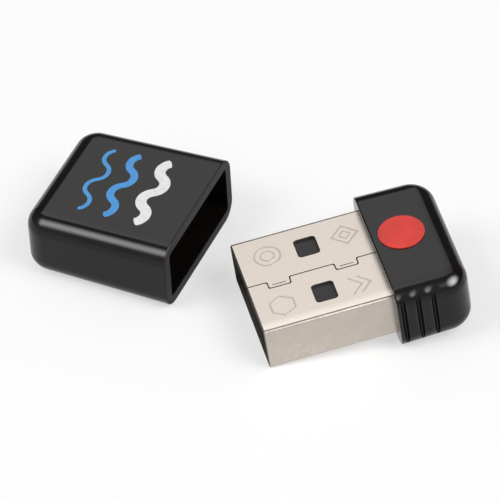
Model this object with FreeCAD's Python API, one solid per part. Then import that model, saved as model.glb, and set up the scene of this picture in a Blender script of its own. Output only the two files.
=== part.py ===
import FreeCAD, Part
import math
import os

# A USB dongle that lies beside its pull-off cap.
# All lengths are in millimetres and all angles in degrees.
# Dongle frame: origin at the middle of the body's front face, +X into the body, plug towards -X,
# +Z out of the side with the plug's seam. Cap frame: origin at the middle of the mouth, the same axes.

# Plug: a folded sheet tube with a seam along its top
PLUG_LENGTH = 11.75
PLUG_WIDTH = 12.0
PLUG_HEIGHT = 4.5
SHEET = 0.3
BEND_INSIDE = 0.08
TIP_CHAMFER = 0.12
PLUG_INSERT = 1.5

# Windows that the socket's springs drop into, on the top and the bottom of the plug
WINDOW_LENGTH = 2.05
WINDOW_WIDTH = 2.33
WINDOW_CORNER = 0.35
WINDOW_PITCH = 6.05
WINDOW_TO_BODY = 5.42

# Seam: a narrow gap that steps aside round two tabs, each with a scored line
SEAM_GAP = 0.11
SEAM_STEP = 0.82
SEAM_CORNER = 0.2
TAB_LENGTH = 2.04
TAB_STARTS = (-9.89, -3.73)
SCORE_LENGTH = 1.26
SCORE_WIDTH = 0.08
SCORE_DEPTH = 0.1
SCORE_INSET = 0.35

# Legs at the plug's rear that hold the board's sides, and barbs that lock the plug in the body
LEG_LENGTH = 2.0
LEG_HEIGHT = 1.0
BARB_LENGTH = 0.6
BARB_HEIGHT = 1.2
BARB_OUT = 0.25
BARB_FROM_FACE = 0.6

# Insulator: a tongue under the seam side and a block that closes the plug's rear
INSULATOR_GAP = 0.02
TONGUE_THICKNESS = 1.9
TONGUE_SETBACK = 0.6
TONGUE_NOSE = 0.35
BLOCK_FRONT = -1.2
CONTACT_SLOT_GAP = 0.03

# Contacts: strips on the tongue's free face, with tails that are soldered to the board
CONTACT_WIDTH = 1.0
CONTACT_THICKNESS = 0.2
CONTACT_PROUD = 0.08
CONTACT_BEND = 0.35
POWER_SETBACK = 1.0
DATA_SETBACK = 2.0
POWER_SPACING = 7.0
DATA_SPACING = 2.0
TAIL_LENGTH = 1.0

# Body and cap share the outline where they meet, which stands out round the plug
SIDE_STEP = 1.27
FLAT_STEP = 1.2
RIM_EDGE = 1.75
FRONT_EDGE = 0.13
DRAFT = 1.0

# Body
BODY_CORNER = 2.33
BODY_REAR_WALL = 0.85
POCKET_GAP = 0.05
GROOVE_COUNT = 3
GROOVE_FIRST = 0.57
GROOVE_PITCH = 1.4
GROOVE_WIDTH = 0.8
GROOVE_DEPTH = 0.33
GROOVE_FLOOR = 0.1

# Round mark on the body's top face
BADGE_DIAMETER = 4.15
BADGE_THICKNESS = 0.1
BADGE_X = 2.7
BADGE_Y = 0.33

# Cap
CAP_CORNER = 2.17
CAP_END_WALL = 1.32
CAP_SIDE_GAP = 0.22
CAP_FLAT_GAP = 0.2
CAP_DEPTH_GAP = 1.2
CAVITY_DRAFT = 0.5
CAVITY_CORNER = 0.4
GRIP_RIB_WIDTH = 0.5
GRIP_RIB_ROOT = 0.1
GRIP_RIB_SPACING = 6.8
GRIP_RIB_START = 1.5
GRIP_GAP = 0.04

# Board, with the parts in a row behind the contacts' tails
BOARD_THICKNESS = 0.8
BOARD_FRONT_GAP = 0.1
BOARD_REAR_GAP = 0.1
BOARD_REAR_MARGIN = 0.2
BOARD_CORNER = 0.4
PART_GAP = 0.2

# Parts on the board: length along X, width along Y, height
CHIP_SIDE = 3.0
CHIP_HEIGHT = 0.85
CHIP_PADS = 5
CHIP_PAD_PITCH = 0.5
CHIP_PAD_WIDTH = 0.25
CRYSTAL_LENGTH = 2.5
CRYSTAL_WIDTH = 2.0
CRYSTAL_HEIGHT = 0.6
CRYSTAL_RIM = 0.1
SMALL_LENGTH = 1.0
SMALL_WIDTH = 0.5
CAPACITOR_HEIGHT = 0.5
RESISTOR_HEIGHT = 0.35
SMALL_LIP = 0.02
BULK_LENGTH = 1.6
BULK_WIDTH = 0.8
BULK_HEIGHT = 0.8
REGULATOR_LENGTH = 2.9
REGULATOR_WIDTH = 1.3
REGULATOR_SPAN = 2.4
REGULATOR_HEIGHT = 1.0
REGULATOR_PITCH = 0.95
REGULATOR_LEAD = 0.4
ARRAY_SIDE = 1.6
ARRAY_BODY = 1.2
ARRAY_HEIGHT = 0.55
ARRAY_PITCH = 0.5
ARRAY_LEAD = 0.22
LEAD_THICKNESS = 0.12

# How the two parts lie on the table, seen from above
DONGLE_YAW = 37.93
TIP_FROM_MOUTH_X = 7.48
TIP_FROM_MOUTH_Y = -6.01


def vec(x, y, z):
    return FreeCAD.Vector(x, y, z)


def slope(angle):
    return math.tan(math.radians(angle))


def plug_corner():
    return BEND_INSIDE + SHEET


def body_width():
    return PLUG_WIDTH + 2 * SIDE_STEP


def body_height():
    return PLUG_HEIGHT + 2 * FLAT_STEP


def board_front():
    return PLUG_INSERT + BOARD_FRONT_GAP


def board_rear():
    return board_front() + TAIL_LENGTH + PART_GAP + CHIP_SIDE + BOARD_REAR_MARGIN


def body_length():
    return board_rear() + BOARD_REAR_GAP + BODY_REAR_WALL


def cavity_depth():
    return PLUG_LENGTH + CAP_DEPTH_GAP


def cap_length():
    return cavity_depth() + CAP_END_WALL


def block(x0, x1, y0, y1, z0, z1):
    return Part.makeBox(x1 - x0, y1 - y0, z1 - z0, vec(x0, y0, z0))


def rounded_outline(points, radii):
    """Closed wire through the points, with each corner rounded by its radius."""
    edges = []
    ends = []
    count = len(points)
    for i, corner in enumerate(points):
        radius = radii[i]
        to_last = (points[i - 1] - corner).normalize()
        to_next = (points[(i + 1) % count] - corner).normalize()
        if radius == 0:
            ends.append((corner, corner, None))
            continue
        half = to_last.getAngle(to_next) / 2
        reach = radius / math.tan(half)
        towards = (to_last + to_next).normalize()
        crown = corner + towards * (radius / math.sin(half) - radius)
        ends.append((corner + to_last * reach, corner + to_next * reach, crown))
    for i, (start, end, crown) in enumerate(ends):
        if crown is not None:
            edges.append(Part.Arc(start, crown, end).toShape())
        edges.append(Part.LineSegment(end, ends[(i + 1) % count][0]).toShape())
    return Part.Wire(edges)


def section(x, width, height, radius):
    """Rounded rectangle across the X axis, centred on it."""
    y = width / 2
    z = height / 2
    points = [vec(x, -y, -z), vec(x, y, -z), vec(x, y, z), vec(x, -y, z)]
    return rounded_outline(points, [radius] * 4)


def tube_length(x0, x1, width, height, radius):
    """Straight prism with a rounded rectangular section."""
    return Part.Face(section(x0, width, height, radius)).extrude(vec(x1 - x0, 0, 0))


def plan_prism(outline, z0, z1):
    """Prism up Z from a closed wire that is drawn at height z0."""
    return Part.Face(outline).extrude(vec(0, 0, z1 - z0))


def drafted_block(length, width, height, draft, towards):
    """Block whose four sides draw in from the section at X 0.

    towards is 1 or -1, the way along X that the block runs from that section.
    """
    y = width / 2
    z = height / 2
    shrink = length * slope(draft)
    wedge = Part.makeWedge(-y, 0, -z, shrink - z, shrink - y, y, length, z, z - shrink, y - shrink)
    return wedge.rotated(vec(0, 0, 0), vec(0, 0, 1), -90 * towards)


def moulded_block(length, corner, towards):
    """Drafted block whose open end is the outline shared by the body and the cap."""
    solid = drafted_block(length, body_width(), body_height(), DRAFT, towards)
    upright = [e for e in solid.Edges if is_upright(e) and abs(e.CenterOfMass.x) > length / 2]
    solid = solid.makeFillet(corner, upright)
    rims = [e for e in solid.Edges if abs(e.CenterOfMass.x) > 0.01 and not is_upright(e)]
    solid = solid.makeFillet(RIM_EDGE, rims)
    front = [e for e in solid.Edges if abs(e.CenterOfMass.x) < 0.01]
    return solid.makeFillet(FRONT_EDGE, front)


def is_upright(edge):
    box = edge.BoundBox
    return box.ZLength > max(box.XLength, box.YLength)


def seam_points(shift):
    """Points of the seam's line in plan, moved sideways by shift towards +Y."""
    points = [vec(-PLUG_LENGTH - 1, shift, 0)]
    for start in TAB_STARTS:
        end = start + TAB_LENGTH
        points.append(vec(start + shift, shift, 0))
        points.append(vec(start + shift, shift - SEAM_STEP, 0))
        points.append(vec(end - shift, shift - SEAM_STEP, 0))
        points.append(vec(end - shift, shift, 0))
    points.append(vec(PLUG_INSERT + 1, shift, 0))
    return points


def seam_cutter():
    near = seam_points(-SEAM_GAP / 2)
    far = seam_points(SEAM_GAP / 2)
    far.reverse()
    inner = [SEAM_CORNER] * (len(near) - 2)
    outline = rounded_outline(near + far, [0] + inner + [0, 0] + inner + [0])
    low = PLUG_HEIGHT / 2 - SHEET * 2
    outline.translate(vec(0, 0, low))
    return plan_prism(outline, low, PLUG_HEIGHT)


def score_cutter(start):
    middle = start + TAB_LENGTH / 2
    y = SCORE_INSET - SEAM_STEP
    top = PLUG_HEIGHT / 2
    return block(middle - SCORE_LENGTH / 2, middle + SCORE_LENGTH / 2,
                 y - SCORE_WIDTH / 2, y + SCORE_WIDTH / 2, top - SCORE_DEPTH, top + 1)


def window_cutter(side):
    """One cutter makes the window on the top and the one below it."""
    x = -WINDOW_TO_BODY
    y = side * WINDOW_PITCH / 2
    half_x = WINDOW_LENGTH / 2
    half_y = WINDOW_WIDTH / 2
    low = -PLUG_HEIGHT
    points = [vec(x - half_x, y - half_y, low), vec(x + half_x, y - half_y, low),
              vec(x + half_x, y + half_y, low), vec(x - half_x, y + half_y, low)]
    return plan_prism(rounded_outline(points, [WINDOW_CORNER] * 4), low, PLUG_HEIGHT)


def barb(side, grow):
    """Wedge on the plug's side that widens towards the tip; grow makes its notch in the body."""
    y = side * (PLUG_WIDTH / 2 - SHEET / 2)
    out = side * (PLUG_WIDTH / 2 + BARB_OUT + grow)
    x0 = BARB_FROM_FACE - grow
    x1 = BARB_FROM_FACE + BARB_LENGTH + grow
    z = BARB_HEIGHT / 2 + grow
    points = [vec(x0, y, -z), vec(x0, out, -z), vec(x1, y, -z)]
    return plan_prism(rounded_outline(points, [0] * 3), -z, z)


def plug_leg(side):
    inner = side * (PLUG_WIDTH / 2 - SHEET)
    outer = side * PLUG_WIDTH / 2
    z = board_top() - BOARD_THICKNESS / 2
    return block(PLUG_INSERT - SHEET, PLUG_INSERT + LEG_LENGTH, min(inner, outer), max(inner, outer),
                 z - LEG_HEIGHT / 2, z + LEG_HEIGHT / 2)


def plug_shell():
    tube = tube_length(-PLUG_LENGTH, PLUG_INSERT, PLUG_WIDTH, PLUG_HEIGHT, plug_corner())
    tip = [e for e in tube.Edges if abs(e.CenterOfMass.x + PLUG_LENGTH) < 0.001]
    tube = tube.makeChamfer(TIP_CHAMFER, tip)
    bore = tube_length(-PLUG_LENGTH - 1, PLUG_INSERT + 1, PLUG_WIDTH - 2 * SHEET,
                       PLUG_HEIGHT - 2 * SHEET, BEND_INSIDE)
    shell = tube.cut(bore)
    shell = shell.fuse([plug_leg(side) for side in (-1, 1)] + [barb(side, 0) for side in (-1, 1)])
    cutters = [window_cutter(side) for side in (-1, 1)]
    cutters += [score_cutter(start) for start in TAB_STARTS]
    cutters.append(seam_cutter())
    return shell.cut(cutters).removeSplitter()


def tongue_face():
    """Height of the tongue's free face."""
    return PLUG_HEIGHT / 2 - SHEET - TONGUE_THICKNESS


def contact_bottom():
    return tongue_face() - CONTACT_PROUD


def board_top():
    """The contacts' tails lie on the board."""
    return contact_bottom()


def contact_layout():
    """Name, place across the plug and setback from the tip of each contact."""
    return (("vbus_contact", POWER_SPACING / 2, POWER_SETBACK),
            ("data_minus_contact", DATA_SPACING / 2, DATA_SETBACK),
            ("data_plus_contact", -DATA_SPACING / 2, DATA_SETBACK),
            ("ground_contact", -POWER_SPACING / 2, POWER_SETBACK))


def contact(y, setback, grow=0):
    """Strip with a front end that bends up into the tongue; grow makes its slot."""
    front = -PLUG_LENGTH + TONGUE_SETBACK + setback - grow
    rear = PLUG_INSERT + BOARD_FRONT_GAP + TAIL_LENGTH + grow
    low = contact_bottom() - grow
    high = contact_bottom() + CONTACT_THICKNESS + grow
    rise = high + CONTACT_BEND
    side = y - CONTACT_WIDTH / 2 - grow
    thick = high - low
    points = [vec(front, side, low), vec(rear, side, low), vec(rear, side, high),
              vec(front + thick, side, high), vec(front + thick, side, rise), vec(front, side, rise)]
    radii = [thick, 0, 0, grow, 0, 0]
    profile = rounded_outline(points, radii)
    return Part.Face(profile).extrude(vec(0, CONTACT_WIDTH + 2 * grow, 0))


def plug_insulator():
    half_width = PLUG_WIDTH / 2 - SHEET - INSULATOR_GAP
    top = PLUG_HEIGHT / 2 - SHEET - INSULATOR_GAP
    front = -PLUG_LENGTH + TONGUE_SETBACK
    body = tube_length(front, PLUG_INSERT, 2 * half_width, 2 * top, BEND_INSIDE)
    mouth = block(front - 1, BLOCK_FRONT, -half_width - 1, half_width + 1, -top - 1, tongue_face())
    body = body.cut(mouth)
    nose = [e for e in body.Edges
            if abs(e.CenterOfMass.x - front) < 0.001 and abs(e.CenterOfMass.z - tongue_face()) < 0.001]
    body = body.makeChamfer(TONGUE_NOSE, nose)
    slots = [contact(y, setback, CONTACT_SLOT_GAP) for name, y, setback in contact_layout()]
    return body.cut(slots)


def groove_cutter(x, side):
    """Upright groove: a narrow round floor between two wide lips, with arcs that meet on a slope."""
    half = GROOVE_WIDTH / 2
    turn = 2 * math.atan(GROOVE_DEPTH / half)
    lip = half / math.sin(turn) - GROOVE_FLOOR
    join_x = GROOVE_FLOOR * math.sin(turn)
    join_y = GROOVE_DEPTH - GROOVE_FLOOR * (1 - math.cos(turn))
    crown_x = half - lip * math.sin(turn / 2)
    crown_y = lip * (1 - math.cos(turn / 2))
    wall = body_width() / 2 - x * slope(DRAFT)

    def at(along, into):
        return vec(x + along, side * (wall - into), -body_height())

    outline = Part.Wire([
        Part.Arc(at(-half, 0), at(-crown_x, crown_y), at(-join_x, join_y)).toShape(),
        Part.Arc(at(-join_x, join_y), at(0, GROOVE_DEPTH), at(join_x, join_y)).toShape(),
        Part.Arc(at(join_x, join_y), at(crown_x, crown_y), at(half, 0)).toShape(),
        Part.LineSegment(at(half, 0), at(half, -1)).toShape(),
        Part.LineSegment(at(half, -1), at(-half, -1)).toShape(),
        Part.LineSegment(at(-half, -1), at(-half, 0)).toShape()])
    return plan_prism(outline, -body_height(), body_height())


def housing_shell():
    body = moulded_block(body_length(), BODY_CORNER, 1)
    pocket = tube_length(-1, body_length() - BODY_REAR_WALL, PLUG_WIDTH + 2 * POCKET_GAP,
                         PLUG_HEIGHT + 2 * POCKET_GAP, plug_corner() + POCKET_GAP)
    cutters = [pocket]
    for side in (-1, 1):
        cutters.append(barb(side, POCKET_GAP))
        for i in range(GROOVE_COUNT):
            cutters.append(groove_cutter(GROOVE_FIRST + i * GROOVE_PITCH, side))
    return body.cut(cutters)


def badge():
    disc = Part.makeCylinder(BADGE_DIAMETER / 2, BADGE_THICKNESS)
    disc.rotate(vec(0, 0, 0), vec(0, 1, 0), DRAFT)
    disc.translate(vec(BADGE_X, BADGE_Y, body_height() / 2 - BADGE_X * slope(DRAFT)))
    return disc


def cap_cavity():
    width = PLUG_WIDTH + 2 * CAP_SIDE_GAP
    height = PLUG_HEIGHT + 2 * CAP_FLAT_GAP
    cavity = drafted_block(cavity_depth(), width, height, CAVITY_DRAFT, -1)
    corners = [e for e in cavity.Edges if not is_upright(e) and e.BoundBox.XLength > cavity_depth() / 2]
    return cavity.makeFillet(CAVITY_CORNER, corners)


def grip_rib(side, face):
    """Rib inside the cap that presses lightly on the plug's top or bottom."""
    y = side * GRIP_RIB_SPACING / 2
    near = face * (PLUG_HEIGHT / 2 + GRIP_GAP)
    far = face * (PLUG_HEIGHT / 2 + CAP_FLAT_GAP + GRIP_RIB_ROOT)
    return block(-cavity_depth() - GRIP_RIB_ROOT, -GRIP_RIB_START, y - GRIP_RIB_WIDTH / 2, y + GRIP_RIB_WIDTH / 2,
                 min(near, far), max(near, far))


def cap_shell():
    cap = moulded_block(cap_length(), CAP_CORNER, -1).cut(cap_cavity())
    return cap.fuse([grip_rib(side, face) for side in (-1, 1) for face in (-1, 1)])


def circuit_board():
    half = PLUG_WIDTH / 2 - SHEET
    x0 = board_front()
    x1 = board_rear()
    low = board_top() - BOARD_THICKNESS
    points = [vec(x0, -half, low), vec(x1, -half, low), vec(x1, half, low), vec(x0, half, low)]
    outline = rounded_outline(points, [0, BOARD_CORNER, BOARD_CORNER, 0])
    return plan_prism(outline, low, board_top())


def controller_chip():
    """Flat square chip with a row of pads along each side."""
    half = CHIP_SIDE / 2
    body = block(-half, half, -half, half, LEAD_THICKNESS / 2, CHIP_HEIGHT)
    pads = []
    span = CHIP_PAD_PITCH * (CHIP_PADS - 1) / 2
    for i in range(CHIP_PADS):
        place = -span + i * CHIP_PAD_PITCH
        low = place - CHIP_PAD_WIDTH / 2
        high = place + CHIP_PAD_WIDTH / 2
        pads.append(block(-half, half, low, high, 0, LEAD_THICKNESS))
        pads.append(block(low, high, -half, half, 0, LEAD_THICKNESS))
    dimple = Part.makeCylinder(CHIP_SIDE / 16, CHIP_HEIGHT, vec(-half * 0.7, half * 0.7, CHIP_HEIGHT * 0.9))
    return body.fuse(pads).cut(dimple).removeSplitter()


def crystal():
    """Metal can on a slightly larger base."""
    base = block(-CRYSTAL_LENGTH / 2, CRYSTAL_LENGTH / 2, -CRYSTAL_WIDTH / 2, CRYSTAL_WIDTH / 2,
                 0, CRYSTAL_HEIGHT / 2)
    half_x = CRYSTAL_LENGTH / 2 - CRYSTAL_RIM
    half_y = CRYSTAL_WIDTH / 2 - CRYSTAL_RIM
    can = block(-half_x, half_x, -half_y, half_y, 0, CRYSTAL_HEIGHT)
    upright = [e for e in can.Edges if is_upright(e)]
    return base.fuse(can.makeFillet(CRYSTAL_RIM * 2, upright))


def two_ended(length, width, height):
    """Chip resistor or capacitor: a body with a slightly larger cap on each end."""
    lip = SMALL_LIP
    end = length / 4
    body = block(-length / 2 + lip, length / 2 - lip, lip - width / 2, width / 2 - lip, lip, height - lip)
    caps = [block(-length / 2, end - length / 2, -width / 2, width / 2, 0, height),
            block(length / 2 - end, length / 2, -width / 2, width / 2, 0, height)]
    return body.fuse(caps)


def gull_lead(x, side, width, body_half, reach, height):
    """Lead that leaves the body's side, turns down and ends in a flat foot."""
    knee = body_half + (reach - body_half) / 2
    t = LEAD_THICKNESS
    points = [vec(x, side * body_half * 0.8, height), vec(x, side * knee, height),
              vec(x, side * knee, t), vec(x, side * reach, t), vec(x, side * reach, 0),
              vec(x, side * (knee - t), 0), vec(x, side * (knee - t), height - t),
              vec(x, side * body_half * 0.8, height - t)]
    face = Part.Face(rounded_outline(points, [0] * len(points)))
    return face.extrude(vec(width, 0, 0)).translated(vec(-width / 2, 0, 0))


def leaded(length, width, span, height, lead_width, places):
    """Moulded body with gull leads; places lists the X and side of each lead."""
    body = block(-length / 2, length / 2, -width / 2, width / 2, LEAD_THICKNESS, height)
    leads = [gull_lead(x, side, lead_width, width / 2, span / 2, height / 2) for x, side in places]
    return body.fuse(leads)


def voltage_regulator():
    places = ((-REGULATOR_PITCH, -1), (REGULATOR_PITCH, -1), (0, 1))
    return leaded(REGULATOR_LENGTH, REGULATOR_WIDTH, REGULATOR_SPAN, REGULATOR_HEIGHT, REGULATOR_LEAD, places)


def esd_array():
    places = [(i * ARRAY_PITCH, side) for i in (-1, 0, 1) for side in (-1, 1)]
    return leaded(ARRAY_SIDE, ARRAY_BODY, ARRAY_SIDE, ARRAY_HEIGHT, ARRAY_LEAD, places)


def board_row(parts, below=False):
    """Seat parts side by side across the board, behind the tails, all level at the front.

    Each part is modelled on its own feet at Z 0, in the middle of X and Y.
    """
    front = board_front() + TAIL_LENGTH + PART_GAP
    widths = [shape.BoundBox.YLength for name, shape in parts]
    y = -(sum(widths) + PART_GAP * (len(parts) - 1)) / 2
    seated = {}
    for (name, shape), width in zip(parts, widths):
        height = board_top()
        if below:
            shape.rotate(vec(0, 0, 0), vec(1, 0, 0), 180)
            height -= BOARD_THICKNESS
        shape.translate(vec(front + shape.BoundBox.XLength / 2, y + width / 2, height))
        seated[name] = shape
        y += width + PART_GAP
    return seated


def board_parts():
    """The tall parts stand on the face under the seam, the flat ones on the other face."""
    def capacitor():
        return two_ended(SMALL_LENGTH, SMALL_WIDTH, CAPACITOR_HEIGHT)

    def resistor():
        return two_ended(SMALL_LENGTH, SMALL_WIDTH, RESISTOR_HEIGHT)

    seated = board_row([
        ("load_capacitor_1", capacitor()),
        ("crystal", crystal()),
        ("load_capacitor_2", capacitor()),
        ("controller_chip", controller_chip()),
        ("voltage_regulator", voltage_regulator()),
        ("bulk_capacitor", two_ended(BULK_LENGTH, BULK_WIDTH, BULK_HEIGHT))])
    seated.update(board_row([
        ("decoupling_capacitor_1", capacitor()),
        ("data_resistor_1", resistor()),
        ("data_resistor_2", resistor()),
        ("esd_array", esd_array()),
        ("pull_up_resistor", resistor()),
        ("decoupling_capacitor_2", capacitor())], True))
    return seated


def dongle_parts():
    parts = {
        "plug_shell": plug_shell(),
        "plug_insulator": plug_insulator(),
        "housing_shell": housing_shell(),
        "badge": badge(),
        "circuit_board": circuit_board(),
    }
    for name, y, setback in contact_layout():
        parts[name] = contact(y, setback)
    parts.update(board_parts())
    return parts


def dongle_placement():
    """The plug's tip and the body's front lower edge both touch the table."""
    tilt = math.degrees(math.atan(FLAT_STEP / (PLUG_LENGTH - TIP_CHAMFER)))
    height = body_height() / 2 * math.cos(math.radians(tilt))
    lean = FreeCAD.Rotation(vec(0, 1, 0), -tilt)
    turn = FreeCAD.Rotation(vec(0, 0, 1), DONGLE_YAW).multiply(lean)
    tip = turn.multVec(vec(-PLUG_LENGTH, 0, 0))
    place = vec(TIP_FROM_MOUTH_X - tip.x, TIP_FROM_MOUTH_Y - tip.y, height)
    return FreeCAD.Placement(place, turn)


def cap_placement():
    """The cap lies on its lower face, which its draft has tipped."""
    lean = FreeCAD.Rotation(vec(0, 1, 0), -DRAFT)
    return FreeCAD.Placement(vec(0, 0, body_height() / 2 * math.cos(math.radians(DRAFT))), lean)


def row_shift(shapes):
    """Move that brings the middle of everything to X 0, Y 0."""
    box = FreeCAD.BoundBox()
    for shape in shapes:
        box.add(shape.optimalBoundingBox())
    return vec(-box.Center.x, -box.Center.y, 0)


def build():
    placed = {}
    for name, shape in dongle_parts().items():
        placed[name] = shape.transformed(dongle_placement().toMatrix())
    placed["cap_shell"] = cap_shell().transformed(cap_placement().toMatrix())
    shift = row_shift([placed["cap_shell"], placed["housing_shell"], placed["plug_shell"]])
    for shape in placed.values():
        shape.translate(shift)
    return placed, shift


def main():
    os.makedirs("parts", exist_ok=True)
    placed, shift = build()
    for name, shape in placed.items():
        shape.exportStep(f"parts/{name}.step")
        print(name, shape.isValid(), len(shape.Solids), round(shape.Volume, 3), len(shape.Faces))
    print("row shift", shift)


main()
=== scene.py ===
import math

import bpy
from mathutils import Matrix, Quaternion, Vector


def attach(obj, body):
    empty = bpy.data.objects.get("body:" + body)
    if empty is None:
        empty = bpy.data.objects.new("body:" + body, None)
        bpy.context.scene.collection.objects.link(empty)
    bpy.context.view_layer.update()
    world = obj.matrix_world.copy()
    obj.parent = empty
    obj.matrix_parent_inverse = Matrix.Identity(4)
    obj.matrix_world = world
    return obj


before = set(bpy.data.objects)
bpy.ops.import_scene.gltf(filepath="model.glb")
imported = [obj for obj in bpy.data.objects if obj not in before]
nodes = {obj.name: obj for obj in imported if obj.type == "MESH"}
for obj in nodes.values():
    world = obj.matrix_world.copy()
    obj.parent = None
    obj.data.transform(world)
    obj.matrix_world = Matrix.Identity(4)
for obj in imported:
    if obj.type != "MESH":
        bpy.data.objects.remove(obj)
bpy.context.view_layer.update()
bpy.ops.object.select_all(action="DESELECT")


# Camera
# A long lens looks down on the dongle and its cap from the front, a little to the right, and leans
# slightly. Angles are in degrees and lengths in metres, apart from the lens and its sensor.

CAMERA_TARGET = Vector((-0.0021659, 0.0031855, 0.0))
CAMERA_AZIMUTH = 24.953
CAMERA_ELEVATION = 42.548
CAMERA_ROLL = -2.391
CAMERA_DISTANCE = 0.449265
CAMERA_LENS = 360.0
CAMERA_SENSOR = 36.0
CAMERA_NEAR = 0.01
CAMERA_FAR = 20.0

turn = (Matrix.Rotation(math.radians(CAMERA_AZIMUTH), 4, "Z")
        @ Matrix.Rotation(math.radians(90 - CAMERA_ELEVATION), 4, "X")
        @ Matrix.Rotation(math.radians(CAMERA_ROLL), 4, "Z"))
away = turn @ Vector((0, 0, CAMERA_DISTANCE))
bpy.ops.object.camera_add(location=CAMERA_TARGET + away, rotation=turn.to_euler())
camera = bpy.context.object
camera.data.lens = CAMERA_LENS
camera.data.sensor_width = CAMERA_SENSOR
camera.data.clip_start = CAMERA_NEAR
camera.data.clip_end = CAMERA_FAR
bpy.context.scene.camera = camera
bpy.context.scene.view_settings.view_transform = "Standard"


# Table and studio
# A white table top in a dim studio. The glossy faces mirror a broad softbox overhead and two strong,
# soft-edged ones at the left and the right. Two plain lamps, which no face mirrors, light the colors.

FLOOR_SIZE = 6.0
FLOOR_SQUARES = 8
FLOOR_COLOR = (0.50, 0.50, 0.50, 1)
FLOOR_ROUGHNESS = 0.9
FLOOR_LIFT = 0.52
FILL_LEVEL = 0.42
# The dim room, as places from the front to the back and the level at each
ROOM_LEVELS = ((0.0, 0.75), (0.25, 0.60), (0.45, 0.36), (0.55, 0.24), (0.75, 0.11), (1.0, 0.10))
# The broad softbox, as the X and Y of the direction that mirrors it
OVERHEAD_MIDDLE = (-0.135, 0.38, 0)
OVERHEAD_HALF = (0.41, 0.375, 1)
OVERHEAD_TURN = -30.0
OVERHEAD_EDGE = 0.09
OVERHEAD_NEAR = 2.72
OVERHEAD_FAR = 1.03
HORIZON_FADE = 0.05
LAMP_DISTANCE = 0.60
# On a lamp's own face, places run from 0 to 1
LAMP_MIDDLE = 0.5
# Each lamp: direction, width, length, roll about its beam, level, and which rays see it
LAMPS = (("fill_left", (-0.50, -0.46, 0.73), 0.30, 0.30, 0.0, 4.6, "diffuse"),
         ("fill_right", (0.62, -0.07, 0.78), 0.30, 0.30, 0.0, 4.6, "diffuse"),
         ("softbox_left", (-0.475, -0.535, 0.69), 0.56, 0.56, 45.0, 11.6, "glossy"),
         ("softbox_right", (0.80, -0.07, 0.60), 0.78, 0.68, 0.0, 27.0, "glossy"))


def fresh_material(name):
    """A new node material: its tree, its shader and its object coordinates."""
    material = bpy.data.materials.new(name)
    material.use_nodes = True
    tree = material.node_tree
    shader = tree.nodes["Principled BSDF"]
    place = tree.nodes.new("ShaderNodeTexCoord")
    return material, tree, shader, place.outputs["Object"]


def calculated(tree, operation, *values):
    """The result of one Math node; each value is a number or another node's output."""
    node = tree.nodes.new("ShaderNodeMath")
    node.operation = operation
    for socket, value in zip(node.inputs, values):
        if isinstance(value, (int, float)):
            socket.default_value = value
        else:
            tree.links.new(value, socket)
    return node.outputs[0]


def ranged(tree, value, low, high, to_low=0.0, to_high=1.0, smooth=False):
    """The value carried from one range to another and held within it."""
    node = tree.nodes.new("ShaderNodeMapRange")
    if smooth:
        node.interpolation_type = "SMOOTHSTEP"
    for name, number in (("From Min", low), ("From Max", high), ("To Min", to_low), ("To Max", to_high)):
        node.inputs[name].default_value = number
    tree.links.new(value, node.inputs["Value"])
    return node.outputs[0]


def split_up(tree, vector):
    """The X, Y and Z of a vector."""
    node = tree.nodes.new("ShaderNodeSeparateXYZ")
    tree.links.new(vector, node.inputs[0])
    return node.outputs


def reach_of(tree, first, second):
    """How far from 0 a point is whose two coordinates are given."""
    squares = [calculated(tree, "MULTIPLY", value, value) for value in (first, second)]
    return calculated(tree, "SQRT", calculated(tree, "ADD", *squares))


def seen_rays(tree):
    """The camera's rays, and one mask for all that come from the camera, a mirror or a clear piece."""
    path = tree.nodes.new("ShaderNodeLightPath")
    camera_rays = path.outputs["Is Camera Ray"]
    mirrored = calculated(tree, "MAXIMUM", camera_rays, path.outputs["Is Glossy Ray"])
    return camera_rays, calculated(tree, "MAXIMUM", mirrored, path.outputs["Is Transmission Ray"])


bpy.ops.mesh.primitive_grid_add(x_subdivisions=FLOOR_SQUARES, y_subdivisions=FLOOR_SQUARES,
                                size=FLOOR_SIZE, location=(0, 0, 0))
floor = bpy.context.object
floor.name = "table_top"
material, tree, shader, place = fresh_material("table_white")
shader.inputs["Base Color"].default_value = FLOOR_COLOR
shader.inputs["Roughness"].default_value = FLOOR_ROUGHNESS
shader.inputs["Specular IOR Level"].default_value = 0.0
shader.inputs["Emission Color"].default_value = (1, 1, 1, 1)
seen = seen_rays(tree)[1]
tree.links.new(calculated(tree, "MULTIPLY", seen, FLOOR_LIFT), shader.inputs["Emission Strength"])
floor.data.materials.append(material)

world = bpy.data.worlds.new("studio")
bpy.context.scene.world = world
world.use_nodes = True
world.cycles.sampling_method = "NONE"
tree = world.node_tree
sky = tree.nodes["Background"]
direction = tree.nodes.new("ShaderNodeTexCoord").outputs["Generated"]
_, backward, upward = split_up(tree, direction)
room = tree.nodes.new("ShaderNodeValToRGB")
tree.links.new(ranged(tree, backward, -1, 1), room.inputs[0])
ramp = room.color_ramp
while len(ramp.elements) < len(ROOM_LEVELS):
    ramp.elements.new(1.0)
for element, (position, level) in zip(ramp.elements, ROOM_LEVELS):
    element.position = position
    element.color = (level, level, level, 1)
overhead = tree.nodes.new("ShaderNodeMapping")
overhead.vector_type = "TEXTURE"
overhead.inputs["Location"].default_value = OVERHEAD_MIDDLE
overhead.inputs["Rotation"].default_value = (0, 0, math.radians(OVERHEAD_TURN))
overhead.inputs["Scale"].default_value = OVERHEAD_HALF
tree.links.new(direction, overhead.inputs["Vector"])
across, along, _ = split_up(tree, overhead.outputs[0])
mask = ranged(tree, upward, 0.0, HORIZON_FADE)
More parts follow.
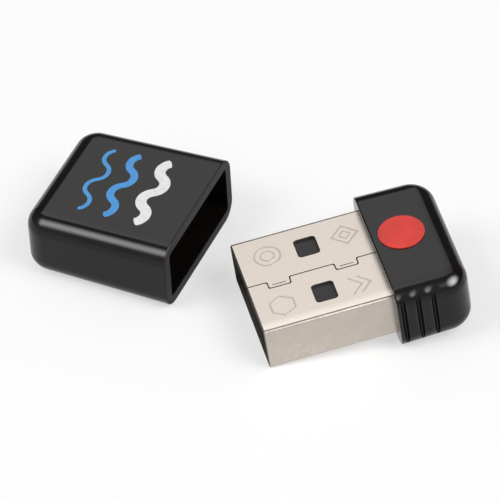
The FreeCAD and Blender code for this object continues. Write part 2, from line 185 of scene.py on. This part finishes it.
for axis in (across, along):
    reach = calculated(tree, "ABSOLUTE", axis)
    side = ranged(tree, reach, 1 - OVERHEAD_EDGE, 1 + OVERHEAD_EDGE, 1, 0, smooth=True)
    mask = calculated(tree, "MULTIPLY", mask, side)
softbox = calculated(tree, "MULTIPLY", mask, ranged(tree, along, -1, 1, OVERHEAD_NEAR, OVERHEAD_FAR))
surroundings = calculated(tree, "MAXIMUM", room.outputs[0], softbox)
camera_rays, seen = seen_rays(tree)
fill = tree.nodes.new("ShaderNodeMix")
tree.links.new(seen, fill.inputs["Factor"])
fill.inputs["A"].default_value = FILL_LEVEL
tree.links.new(calculated(tree, "MAXIMUM", surroundings, camera_rays), fill.inputs["B"])
tree.links.new(fill.outputs["Result"], sky.inputs["Strength"])
sky.inputs["Color"].default_value = (1, 1, 1, 1)

for name, aim, width, length, roll, level, seen_by in LAMPS:
    spot = Vector(aim).normalized() * LAMP_DISTANCE
    aimed = spot.to_track_quat("Z", "Y") @ Quaternion((0, 0, 1), math.radians(roll))
    bpy.ops.object.light_add(type="AREA", location=spot, rotation=aimed.to_euler())
    lamp = bpy.context.object
    lamp.name = name
    lamp.data.shape = "RECTANGLE"
    lamp.data.size = width
    lamp.data.size_y = length
    lamp.data.energy = level * math.pi * width * length
    lamp.visible_camera = False
    lamp.visible_diffuse = seen_by == "diffuse"
    lamp.visible_glossy = seen_by == "glossy"
    if seen_by == "glossy":
        lamp.data.use_nodes = True
        tree = lamp.data.node_tree
        face = split_up(tree, tree.nodes.new("ShaderNodeNewGeometry").outputs["Parametric"])
        offsets = [calculated(tree, "SUBTRACT", face[axis], LAMP_MIDDLE) for axis in ("X", "Y")]
        fade = ranged(tree, reach_of(tree, *offsets), 0.0, LAMP_MIDDLE, 1, 0, smooth=True)
        tree.links.new(fade, tree.nodes["Emission"].inputs["Strength"])


# Cap
# One moulded shell of glossy black plastic with a plain flat top, rounded edges and an open mouth,
# whose end face is matt. Its inner ribs grip the plug when it is pushed on.

CAP_MOUTH = (-0.0057376, 0.0002627, 0.0034495)
CAP_TURN = (0, math.radians(-1.0), 0)
MOUTH_FACE = 0.00004
MOUTH_MATT = 0.50
GLOSS_BLACK = (0.0056, 0.0042, 0.0036, 1)
BLACK_SMOOTH = 0.10
BLACK_HAZY = 0.16
BLACK_GRAIN = 0.25
PLASTIC_SHINE = 0.27
HAZE_SCALE = 260.0
HAZE_DETAIL = 5.0
HAZE_BREAKUP = 0.6
HAZE_START = 0.35
HAZE_END = 0.75
HAZE_PALER = 1.5
RIPPLE_SCALE = 5200.0
RIPPLE_DETAIL = 3.0
RIPPLE_HEIGHT = 0.00001
# Nearly all of a noise texture lies between these values
NOISE_LOW = 0.3
NOISE_HIGH = 0.7


def finish_node(name, material):
    """Give a piece of the frame its material in every slot."""
    for holder in nodes[name].material_slots:
        holder.material = material


def along_part(tree, place, origin, turned):
    """Object coordinates turned to run along, across and up a part, split into three."""
    local = tree.nodes.new("ShaderNodeMapping")
    local.vector_type = "TEXTURE"
    local.inputs["Location"].default_value = origin
    local.inputs["Rotation"].default_value = turned
    tree.links.new(place, local.inputs["Vector"])
    return split_up(tree, local.outputs[0])


def noise(tree, place, scale, detail, breakup=0.5):
    """The value of a noise texture."""
    node = tree.nodes.new("ShaderNodeTexNoise")
    node.inputs["Scale"].default_value = scale
    node.inputs["Detail"].default_value = detail
    node.inputs["Roughness"].default_value = breakup
    tree.links.new(place, node.inputs["Vector"])
    return node.outputs[0]


def scaled(color, share):
    """The color, darker or lighter by a share, and never above white."""
    return tuple(min(1, c * share) for c in color[:3]) + (1,)


def tinted(tree, value, start, first, end, second):
    """A color that turns from the first to the second as the value goes from start to end."""
    node = tree.nodes.new("ShaderNodeValToRGB")
    for element, position, color in zip(node.color_ramp.elements, (start, end), (first, second)):
        element.position = position
        element.color = color
    tree.links.new(value, node.inputs[0])
    return node.outputs[0]


def bumped(tree, height, strength, distance):
    """A Bump node for heights that are given in shares of the distance."""
    node = tree.nodes.new("ShaderNodeBump")
    node.inputs["Strength"].default_value = strength
    node.inputs["Distance"].default_value = distance
    tree.links.new(height, node.inputs["Height"])
    return node


def moulded_gloss(name, color, smooth, hazy, grain):
    """Polished plastic: faint handling haze in its gloss and a slight moulding ripple."""
    material, tree, shader, place = fresh_material(name)
    shader.inputs["Specular IOR Level"].default_value = PLASTIC_SHINE
    haze = noise(tree, place, HAZE_SCALE, HAZE_DETAIL, HAZE_BREAKUP)
    tree.links.new(ranged(tree, haze, NOISE_LOW, NOISE_HIGH, smooth, hazy), shader.inputs["Roughness"])
    tint = tinted(tree, haze, HAZE_START, color, HAZE_END, scaled(color, HAZE_PALER))
    tree.links.new(tint, shader.inputs["Base Color"])
    bump = bumped(tree, noise(tree, place, RIPPLE_SCALE, RIPPLE_DETAIL), grain, RIPPLE_HEIGHT)
    tree.links.new(bump.outputs[0], shader.inputs["Normal"])
    return material


cap_plastic = moulded_gloss("cap_plastic", GLOSS_BLACK, BLACK_SMOOTH, BLACK_HAZY, BLACK_GRAIN)
tree = cap_plastic.node_tree
shader = tree.nodes["Principled BSDF"]
gloss = shader.inputs["Roughness"].links[0].from_socket
place = tree.nodes["Texture Coordinate"].outputs["Object"]
mouth = ranged(tree, along_part(tree, place, CAP_MOUTH, CAP_TURN)["X"], -2 * MOUTH_FACE, -MOUTH_FACE)
tree.links.new(calculated(tree, "MULTIPLY_ADD", mouth, MOUTH_MATT, gloss), shader.inputs["Roughness"])
finish_node("cap_shell", cap_plastic)


# Cap print
# Three wavy ribbons of screen-printed ink across the cap's flat top, a broad white one and two
# light blue ones. Each is a flat band with rounded ends, a hair above the plastic.

PRINT_ORIGIN = (-0.0057978, 0.0002627, 0.006899)
PRINT_SLOPE = 2.0
INK_THICKNESS = 0.000025
INK_WHITE = (0.86, 0.86, 0.85, 1)
INK_BLUE = (0.062, 0.31, 0.70, 1)
INK_THIN = 0.88
INK_COVERED = 0.6
INK_SMOOTH = 0.38
INK_ROUGH = 0.52
INK_SCALE = 2600.0
INK_DETAIL = 4.0
INK_GRAIN = 0.3
INK_GRAIN_HEIGHT = 0.000008
BEND_RADIUS = 0.00120
BEND_TURN = 120.0
BEND_COUNT = 4
BEND_STEPS = 12
END_ROUNDING = 0.48
END_STEPS = 8
SAME_PLACE = 0.000001
# Each ribbon: its place along the cap, its width and its ink
RIBBONS = (("print_wave_white", -0.0043, 0.00100, INK_WHITE),
           ("print_wave_blue", -0.0073, 0.00070, INK_BLUE),
           ("print_wave_thin", -0.0098, 0.00040, INK_BLUE))


def screen_ink(name, color):
    """Printed ink: semi-gloss, with the slightly uneven cover of a screen print."""
    material, tree, shader, place = fresh_material(name)
    cover = noise(tree, place, INK_SCALE, INK_DETAIL)
    tint = tinted(tree, cover, NOISE_LOW, scaled(color, INK_THIN), INK_COVERED, color)
    tree.links.new(tint, shader.inputs["Base Color"])
    rough = ranged(tree, cover, NOISE_LOW, NOISE_HIGH, INK_SMOOTH, INK_ROUGH)
    tree.links.new(rough, shader.inputs["Roughness"])
    tree.links.new(bumped(tree, cover, INK_GRAIN, INK_GRAIN_HEIGHT).outputs[0], shader.inputs["Normal"])
    return material


def thicken(height):
    """Raise the flat outline in edit mode into a thin solid."""
    bpy.ops.mesh.select_all(action="SELECT")
    bpy.ops.mesh.extrude_region_move(TRANSFORM_OT_translate={"value": (0, 0, height)})
    bpy.ops.mesh.select_all(action="SELECT")
    bpy.ops.mesh.normals_make_consistent(inside=False)


def settle(piece, location, rotation):
    """Leave edit mode, move a piece to its place and keep that place in its mesh."""
    bpy.ops.object.mode_set(mode="OBJECT")
    piece.location = location
    piece.rotation_euler = rotation
    bpy.ops.object.transform_apply(location=True, rotation=True, scale=True)


def select_inner_corners(mesh):
    """Select the points where two edges meet, which for a lone strip are its four corners."""
    uses = [0] * len(mesh.vertices)
    for edge in mesh.edges:
        for index in edge.vertices:
            uses[index] += 1
    for vertex, count in zip(mesh.vertices, uses):
        vertex.select = count == 2


def wavy_ribbon(name, along, width):
    """A flat band whose end edge is swung through bends to alternate sides, then thickened."""
    half_turn = math.radians(BEND_TURN) / 2
    reach = BEND_RADIUS * math.sin(half_turn)
    offset = BEND_RADIUS * math.cos(half_turn)
    y = -BEND_COUNT * reach
    bpy.ops.mesh.primitive_plane_add(size=width, location=(along, y, 0))
    ribbon = bpy.context.object
    ribbon.name = name
    bpy.ops.object.transform_apply(location=True, rotation=True, scale=True)
    bpy.ops.object.mode_set(mode="EDIT")
    bpy.ops.mesh.select_all(action="SELECT")
    bpy.ops.transform.resize(value=(1, 0, 1), center_override=(along, y, 0))
    bpy.ops.mesh.remove_doubles(threshold=SAME_PLACE)
    bpy.ops.transform.rotate(value=half_turn, orient_axis="Z", center_override=(along, y, 0))
    bpy.ops.mesh.select_all(action="SELECT")
    side = 1
    for _ in range(BEND_COUNT):
        bpy.ops.mesh.spin(steps=BEND_STEPS, angle=-side * 2 * half_turn, axis=(0, 0, 1),
                          center=(along - side * offset, y + reach, 0))
        y += 2 * reach
        side = -side
    bpy.ops.mesh.select_all(action="SELECT")
    bpy.ops.mesh.remove_doubles(threshold=SAME_PLACE)
    bpy.ops.mesh.select_all(action="DESELECT")
    bpy.ops.object.mode_set(mode="OBJECT")
    select_inner_corners(ribbon.data)
    bpy.ops.object.mode_set(mode="EDIT")
    bpy.ops.mesh.bevel(affect="VERTICES", offset=width * END_ROUNDING, segments=END_STEPS)
    thicken(INK_THICKNESS)
    return ribbon


for name, along, width, color in RIBBONS:
    ribbon = wavy_ribbon(name, along, width)
    settle(ribbon, PRINT_ORIGIN, (0, math.radians(-PRINT_SLOPE), 0))
    ribbon.data.materials.append(screen_ink(name + "_ink", color))
    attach(ribbon, "cap")
    bpy.ops.object.select_all(action="DESELECT")


# Body of the dongle
# The same glossy black plastic, moulded round the rear of the plug, with three upright finger
# grooves in each side. The walls between the grooves are slightly rounded.

DONGLE_ORIGIN = (0.0109614, 0.0014373, 0.0034318)
DONGLE_YAW = 37.93
DONGLE_TILT = 5.891
DONGLE_TURN = (0, math.radians(-DONGLE_TILT), math.radians(DONGLE_YAW))
GROOVE_FIRST = 0.00057
GROOVE_PITCH = 0.0014
GROOVE_COUNT = 3
ROLL_HEIGHT = 0.00003
ROLL_TOP = 0.0032
ROLL_FULL = 0.0024

body_plastic = moulded_gloss("body_plastic", GLOSS_BLACK, BLACK_SMOOTH, BLACK_HAZY, BLACK_GRAIN)
tree = body_plastic.node_tree
place = tree.nodes["Texture Coordinate"].outputs["Object"]
grain = tree.nodes["Bump"]
along, _, up = along_part(tree, place, DONGLE_ORIGIN, DONGLE_TURN)
steps = ranged(tree, along, GROOVE_FIRST - GROOVE_PITCH / 2,
               GROOVE_FIRST + GROOVE_PITCH * (GROOVE_COUNT - 0.5), 0, GROOVE_COUNT)
wave = calculated(tree, "COSINE", calculated(tree, "MULTIPLY", steps, 2 * math.pi))
height = ranged(tree, calculated(tree, "ABSOLUTE", up), ROLL_FULL, ROLL_TOP, ROLL_HEIGHT, 0, smooth=True)
roll = bumped(tree, calculated(tree, "MULTIPLY", wave, height), 1.0, 1.0)
tree.links.new(roll.outputs[0], grain.inputs["Normal"])
finish_node("housing_shell", body_plastic)


# Red mark
# A flat round label of printed plastic film, glued on the body's top face. It is plain and
# slightly less glossy than the body.

LABEL_RED = (0.59, 0.030, 0.020, 1)
LABEL_SMOOTH = 0.16
LABEL_HAZY = 0.24
LABEL_GRAIN = 0.2

red_label = moulded_gloss("red_label", LABEL_RED, LABEL_SMOOTH, LABEL_HAZY, LABEL_GRAIN)
finish_node("badge", red_label)


# Plug shell
# Nickel-plated steel sheet, folded into a tube with a seam along its top and windows for the socket's
# springs. Its inside and cut edges are rougher and painted darker, as shade; it crowns slightly beside the
# near fold, and a thin dark line painted along each fold stands for the fold's dark reflection.

PLUG_HALF_WIDTH = 0.0060
PLUG_HALF_HEIGHT = 0.00225
FOLD_RADIUS = 0.00038
CROWN_START = 0.0048
CROWN_CURVE = 75.0
# A thin dark line painted beside each fold stands for the fold's dark reflection
FOLD_REFLECTION_PLACE = 0.00573
# Half the width of the painted dark fold reflection where it is dark, and where it has faded out
FOLD_REFLECTION_CORE = 0.000032
FOLD_REFLECTION_FADED = 0.000096
FOLD_REFLECTION_DARK = 0.75
# The painted dark fold reflections show only on the top and the bottom, from this height to this
FOLD_REFLECTION_LOW = 0.0019
FOLD_REFLECTION_HIGH = 0.0020
# Depths between which the inside's painted shade and its roughness set in
INSIDE_SHADE_START = 0.00003
INSIDE_SHADE_END = 0.00010
INSIDE_ROUGHER = 0.20
NICKEL = (0.515, 0.464, 0.414, 1)
NICKEL_SMOOTH = 0.25
NICKEL_CLOUDED = 0.29
# The dark color painted on as shade inside the tube and on its cut edges, and as the folds' dark reflection
PAINTED_SHADE_STEEL = (0.10, 0.088, 0.078, 1)
CLOUD_SCALE = 700.0
CLOUD_DETAIL = 3.0
CLOUD_DARKER = 0.95


def blended(tree, factor, first, plain):
    """A node's color that turns into a plain one as the factor goes from 0 to 1."""
    node = tree.nodes.new("ShaderNodeMix")
    node.data_type = "RGBA"
    tree.links.new(factor, node.inputs["Factor"])
    tree.links.new(first, node.inputs[6])
    node.inputs[7].default_value = plain
    return node.outputs[2]


def plated_steel(name, color, smooth, clouded):
    """Plated sheet, clouded in its tint and its roughness."""
    material, tree, shader, place = fresh_material(name)
    shader.inputs["Metallic"].default_value = 1.0
    cloud = noise(tree, place, CLOUD_SCALE, CLOUD_DETAIL)
    tint = tinted(tree, cloud, NOISE_LOW, scaled(color, CLOUD_DARKER), NOISE_HIGH, color)
    rough = ranged(tree, cloud, NOISE_LOW, NOISE_HIGH, smooth, clouded)
    tree.links.new(tint, shader.inputs["Base Color"])
    tree.links.new(rough, shader.inputs["Roughness"])
    return material, tree, shader, place, tint, rough


def depth_inside_outline(tree, across, up):
    """How far a point lies inside the folded tube's rounded outline."""
    side = calculated(tree, "SUBTRACT", calculated(tree, "ABSOLUTE", across), PLUG_HALF_WIDTH - FOLD_RADIUS)
    flat = calculated(tree, "SUBTRACT", calculated(tree, "ABSOLUTE", up), PLUG_HALF_HEIGHT - FOLD_RADIUS)
    corner = reach_of(tree, *[calculated(tree, "MAXIMUM", past, 0.0) for past in (side, flat)])
    straight = calculated(tree, "MINIMUM", calculated(tree, "MAXIMUM", side, flat), 0.0)
    return calculated(tree, "SUBTRACT", FOLD_RADIUS, calculated(tree, "ADD", corner, straight))


material, tree, shader, place, tint, rough = plated_steel(
    "plug_nickel", NICKEL, NICKEL_SMOOTH, NICKEL_CLOUDED)
_, across, up = along_part(tree, place, DONGLE_ORIGIN, DONGLE_TURN)
# Below the outer face, the inside and the cut edges are painted darker as shade, and made rougher
inside = ranged(tree, depth_inside_outline(tree, across, up), INSIDE_SHADE_START, INSIDE_SHADE_END, smooth=True)
tree.links.new(calculated(tree, "MULTIPLY_ADD", inside, INSIDE_ROUGHER, rough), shader.inputs["Roughness"])
# Painted dark reflection: a thin dark line beside each fold, on the top and the bottom
from_fold_reflection = calculated(tree, "SUBTRACT", calculated(tree, "ABSOLUTE", across), FOLD_REFLECTION_PLACE)
line = ranged(tree, calculated(tree, "ABSOLUTE", from_fold_reflection), FOLD_REFLECTION_CORE, FOLD_REFLECTION_FADED, 1, 0, smooth=True)
outer = ranged(tree, calculated(tree, "ABSOLUTE", up), FOLD_REFLECTION_LOW, FOLD_REFLECTION_HIGH)
fold_reflection = calculated(tree, "MULTIPLY", calculated(tree, "MULTIPLY", line, outer), FOLD_REFLECTION_DARK)
painted_shade_and_reflection = calculated(tree, "MAXIMUM", inside, fold_reflection)
# The painted shade inside and the painted dark fold reflections darken the nickel
tree.links.new(blended(tree, painted_shade_and_reflection, tint, PAINTED_SHADE_STEEL), shader.inputs["Base Color"])
nearward = calculated(tree, "MULTIPLY", across, -1.0)
past = calculated(tree, "MAXIMUM", calculated(tree, "SUBTRACT", nearward, CROWN_START), 0.0)
crown = calculated(tree, "MULTIPLY", calculated(tree, "MULTIPLY", past, past), -CROWN_CURVE)
tree.links.new(bumped(tree, crown, 1.0, 1.0).outputs[0], shader.inputs["Normal"])
finish_node("plug_shell", material)


# Plug marks
# Faint stamped outlines in the four corners of the plug's top: two rings, a hexagon, two nested
# diamonds and two chevrons, plain shapes that stand for nothing.

STAMP_THICKNESS = 0.000012
STAMP_NICKEL = (0.44, 0.385, 0.325, 1)
STAMP_SMOOTH = 0.42
STAMP_DULL = 0.55
# Each outline: places along and across the plug, radius, line width, corners, and whether it is
# cut down to its rear half
STAMPS = (("stamp_ring", -0.0090, 0.0032, 0.00125, 0.00016, 48, False),
          ("stamp_ring_inner", -0.0090, 0.0032, 0.00068, 0.00014, 36, False),
          ("stamp_hexagon", -0.0093, -0.0033, 0.00130, 0.00016, 6, False),
          ("stamp_diamond", -0.0019, 0.0032, 0.00130, 0.00016, 4, False),
          ("stamp_diamond_inner", -0.0019, 0.0032, 0.00062, 0.00014, 4, False),
          ("stamp_chevron", -0.0031, -0.0033, 0.00115, 0.00016, 4, True),
          ("stamp_chevron_2", -0.0023, -0.0033, 0.00115, 0.00016, 4, True))

stamped = plated_steel("stamped_nickel", STAMP_NICKEL, STAMP_SMOOTH, STAMP_DULL)[0]

for name, along, across, radius, line, corners, halved in STAMPS:
    middle = (along, across, PLUG_HALF_HEIGHT)
    bpy.ops.mesh.primitive_circle_add(vertices=corners, radius=radius, fill_type="NGON", location=middle)
    piece = bpy.context.object
    piece.name = name
    bpy.ops.object.transform_apply(location=True, rotation=True, scale=True)
    bpy.ops.object.mode_set(mode="EDIT")
    bpy.ops.mesh.select_all(action="SELECT")
    bpy.ops.mesh.inset(thickness=line)
    bpy.ops.mesh.delete(type="FACE")
    if halved:
        bpy.ops.mesh.select_all(action="SELECT")
        bpy.ops.mesh.bisect(plane_co=middle, plane_no=(1, 0, 0), clear_inner=True)
    thicken(STAMP_THICKNESS)
    settle(piece, DONGLE_ORIGIN, DONGLE_TURN)
    piece.data.materials.append(stamped)
    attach(piece, "dongle")
    bpy.ops.object.select_all(action="DESELECT")


# Insulator and contacts
# A black plastic tongue inside the plug carries four gilt metal strips. Their front ends bend up into
# the tongue, and their tails are soldered to the board.

INSULATOR_BLACK = (0.02, 0.018, 0.02, 1)
INSULATOR_SMOOTH = 0.4
INSULATOR_HAZY = 0.55
INSULATOR_GRAIN = 0.4
GILT = (0.90, 0.66, 0.28, 1)
GILT_SMOOTH = 0.24
GILT_CLOUDED = 0.38

insulator_plastic = moulded_gloss("insulator_plastic", INSULATOR_BLACK, INSULATOR_SMOOTH,
                                  INSULATOR_HAZY, INSULATOR_GRAIN)
finish_node("plug_insulator", insulator_plastic)
gilt = plated_steel("contact_gilt", GILT, GILT_SMOOTH, GILT_CLOUDED)[0]
for name in ("vbus_contact", "data_minus_contact", "data_plus_contact", "ground_contact"):
    finish_node(name, gilt)


# Circuit board and its parts
# A green board behind the plug. Its chip, crystal, regulator, capacitors, resistors and diode array
# are soldered to it by tinned ends, leads or pads.

BOARD_GREEN = (0.010, 0.085, 0.030, 1)
BOARD_SMOOTH = 0.28
BOARD_HAZY = 0.40
BOARD_GRAIN = 0.5
CRYSTAL_STEEL = (0.66, 0.64, 0.60, 1)
CRYSTAL_SMOOTH = 0.22
CRYSTAL_CLOUDED = 0.34
CHIP_BLACK = (0.016, 0.016, 0.017, 1)
CERAMIC_TAN = (0.40, 0.24, 0.11, 1)
FILM_BLACK = (0.022, 0.021, 0.024, 1)
MOTTLE_SCALE = 9000.0
MOTTLE_DETAIL = 4.0
MOTTLE_DARKER = 0.75
MOTTLE_LIGHTER = 1.25
PART_SMOOTH = 0.34
PART_ROUGH = 0.52
TIN = (0.72, 0.71, 0.68, 1)
TIN_END = 0.00022
TIN_BLEND = 0.00002
# Half the width of the bodies whose leads leave across the dongle, and the height of the chip's pads
LEADED_BODIES = {"voltage_regulator": 0.00065, "esd_array": 0.00060}
PAD_TOP = 0.00003
# Each color, with the parts that have it
PART_COLORS = ((CERAMIC_TAN, ("load_capacitor_1", "load_capacitor_2", "decoupling_capacitor_1",
                              "decoupling_capacitor_2", "bulk_capacitor")),
               (FILM_BLACK, ("data_resistor_1", "data_resistor_2", "pull_up_resistor")),
               (CHIP_BLACK, ("controller_chip", "voltage_regulator", "esd_array")))

board_resist = moulded_gloss("board_resist", BOARD_GREEN, BOARD_SMOOTH, BOARD_HAZY, BOARD_GRAIN)
finish_node("circuit_board", board_resist)
crystal_can = plated_steel("crystal_can", CRYSTAL_STEEL, CRYSTAL_SMOOTH, CRYSTAL_CLOUDED)[0]
finish_node("crystal", crystal_can)

dongle_place = (Matrix.Translation(DONGLE_ORIGIN) @ Matrix.Rotation(DONGLE_TURN[2], 4, "Z")
                @ Matrix.Rotation(DONGLE_TURN[1], 4, "Y"))


def tinned_where(tree, name, axes):
    """Where a part is tinned: on the chip's pads, on leads, or at a small part's two ends."""
    if name == "controller_chip":
        return ranged(tree, axes["Z"], PAD_TOP, PAD_TOP + TIN_BLEND, 1, 0)
    points = [dongle_place.inverted() @ v.co for v in nodes[name].data.vertices]
    axis = "Y" if name in LEADED_BODIES else "X"
    places = [p["XYZ".index(axis)] for p in points]
    body_half = LEADED_BODIES.get(name, (max(places) - min(places)) / 2 - TIN_END)
    middle = (max(places) + min(places)) / 2
    reach = calculated(tree, "ABSOLUTE", calculated(tree, "SUBTRACT", axes[axis], middle))
    return ranged(tree, reach, body_half, body_half + TIN_BLEND)


def tinned_part(name, color):
    """A part whose body takes its own color and whose ends, leads or pads are tinned metal."""
    material, tree, shader, place = fresh_material(name + "_finish")
    tinned = tinned_where(tree, name, along_part(tree, place, DONGLE_ORIGIN, DONGLE_TURN))
    mottle = noise(tree, place, MOTTLE_SCALE, MOTTLE_DETAIL)
    tint = tinted(tree, mottle, 0.0, scaled(color, MOTTLE_DARKER), 1.0, scaled(color, MOTTLE_LIGHTER))
    tree.links.new(blended(tree, tinned, tint, TIN), shader.inputs["Base Color"])
    tree.links.new(tinned, shader.inputs["Metallic"])
    rough = ranged(tree, mottle, NOISE_LOW, NOISE_HIGH, PART_SMOOTH, PART_ROUGH)
    tree.links.new(rough, shader.inputs["Roughness"])
    finish_node(name, material)


for color, names in PART_COLORS:
    for name in names:
        tinned_part(name, color)
